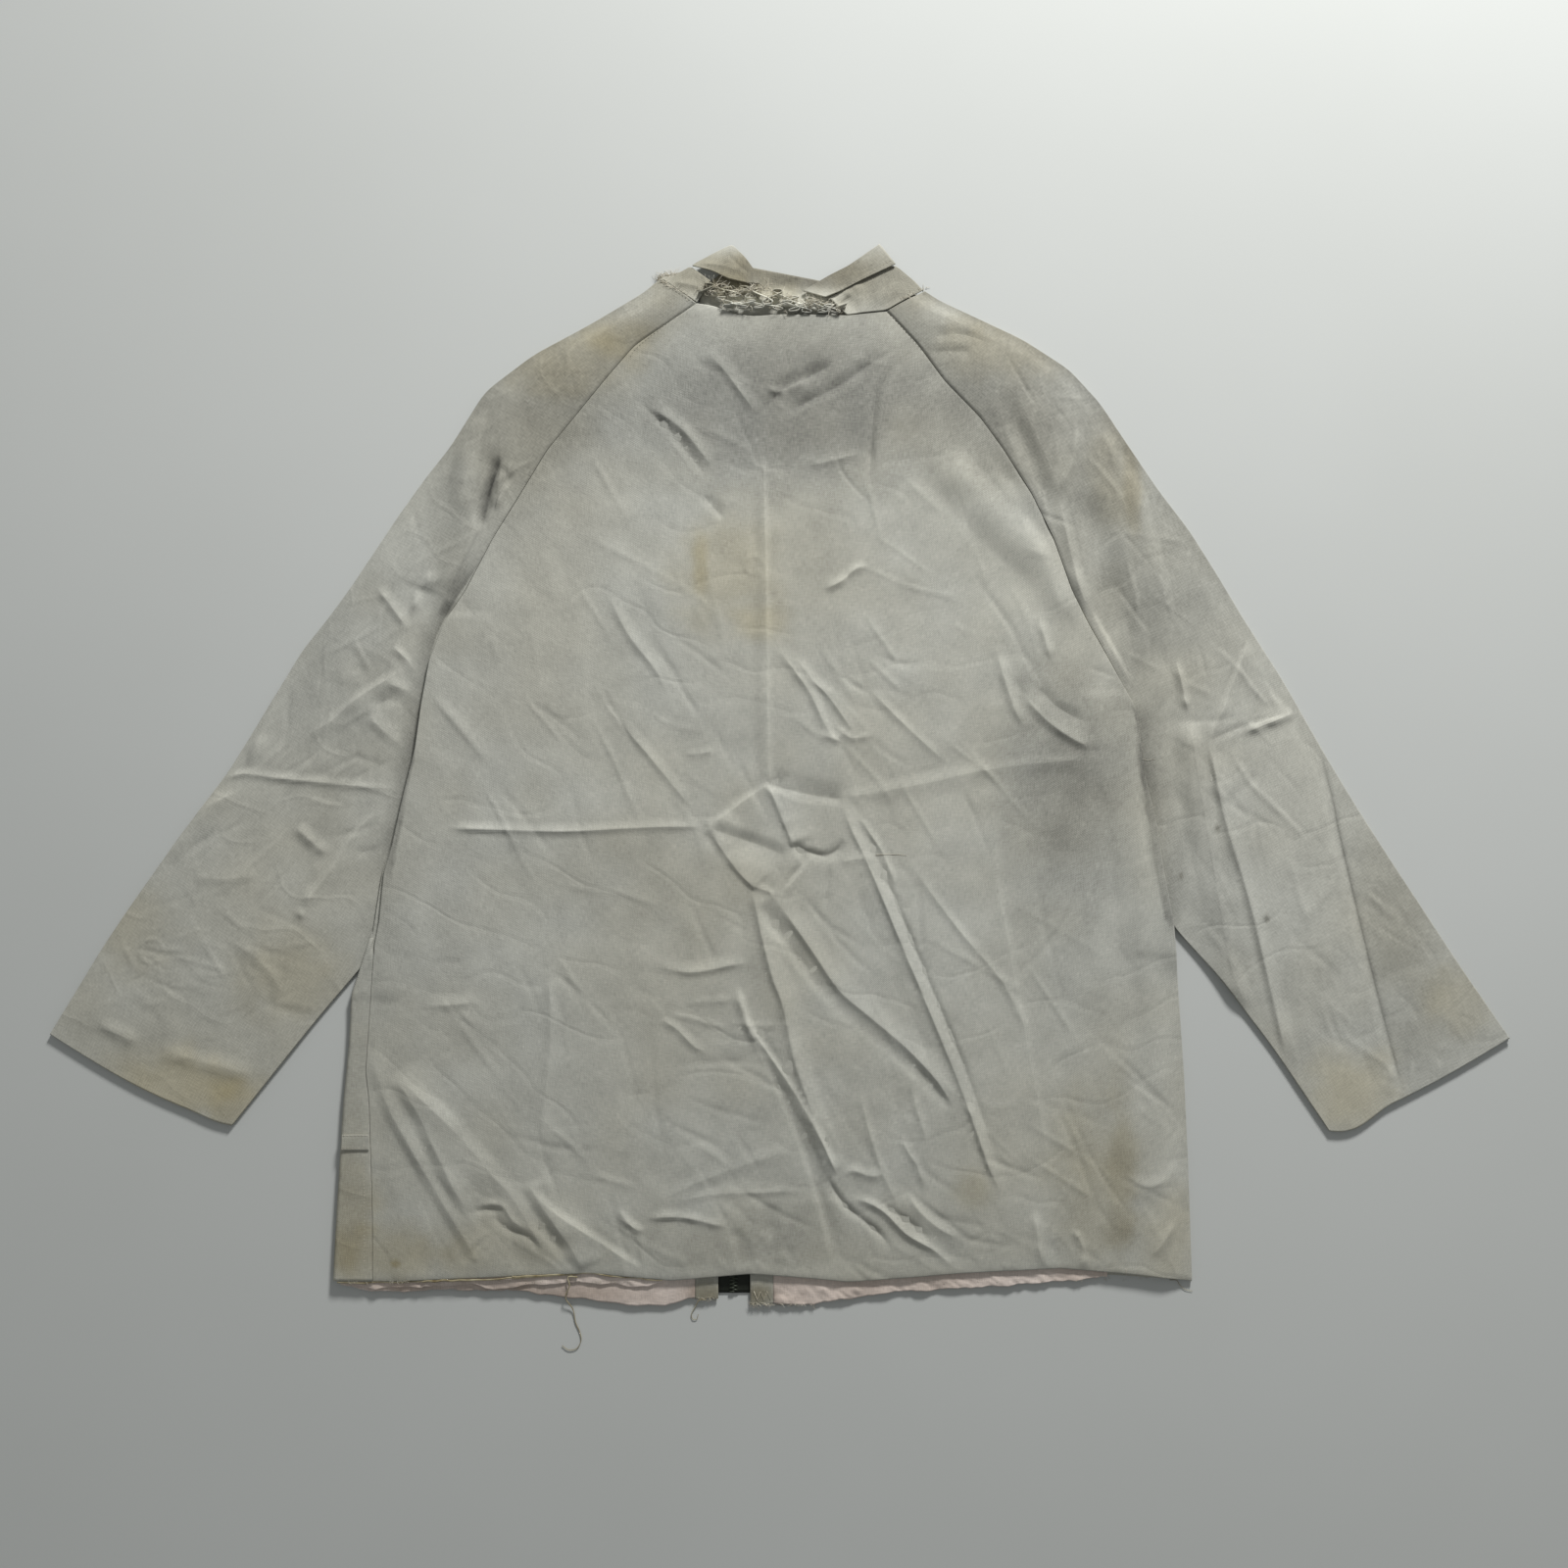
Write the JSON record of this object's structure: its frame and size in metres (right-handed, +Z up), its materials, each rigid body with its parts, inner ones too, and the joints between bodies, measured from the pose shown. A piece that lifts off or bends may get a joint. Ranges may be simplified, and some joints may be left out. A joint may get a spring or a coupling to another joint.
{
  "type": "chin strap jacket",
  "caption": "Light zipped raglan jacket with a low collar and a chin strap, laid flat face down with its back up.",
  "frame": {"origin": "on the surface that the jacket lies on, below the middle of its whole outline", "axes": "+Z up, +Y towards the collar, +X to the wearer's right sleeve, which is on the right seen from above"},
  "size_m": [1.07, 0.8121, 0.0097],
  "materials": {
    "cloth": "worn stone grey cotton with a slight sheen and brown stains",
    "lining": "crumpled pale pink lining",
    "zip_tape": "dark green woven zip tape",
    "thread": "loose cotton thread"
  },
  "bodies": {
    "root": {"back_panel": "cloth", "front_left": "cloth", "front_right": "cloth", "sleeve_left_back": "cloth", "sleeve_left_front": "cloth", "sleeve_right_back": "cloth", "sleeve_right_front": "cloth", "lining_front_left": "lining", "lining_front_right": "lining", "lining_back": "lining", "facing_left": "cloth", "facing_right": "cloth", "zip_half_left": "zip_tape", "zip_half_right": "zip_tape", "collar_left": "cloth", "collar_left_end": "cloth", "collar_front": "cloth", "collar_right": "cloth", "chin_strap": "cloth", "neck_ruffle_upper": "cloth", "neck_ruffle_lower": "cloth", "neck_fray": "thread", "side_tab": "cloth", "hem_thread_long": "thread", "hem_thread_loop": "thread", "hem_thread_right": "thread"}
  },
  "joints": []
}
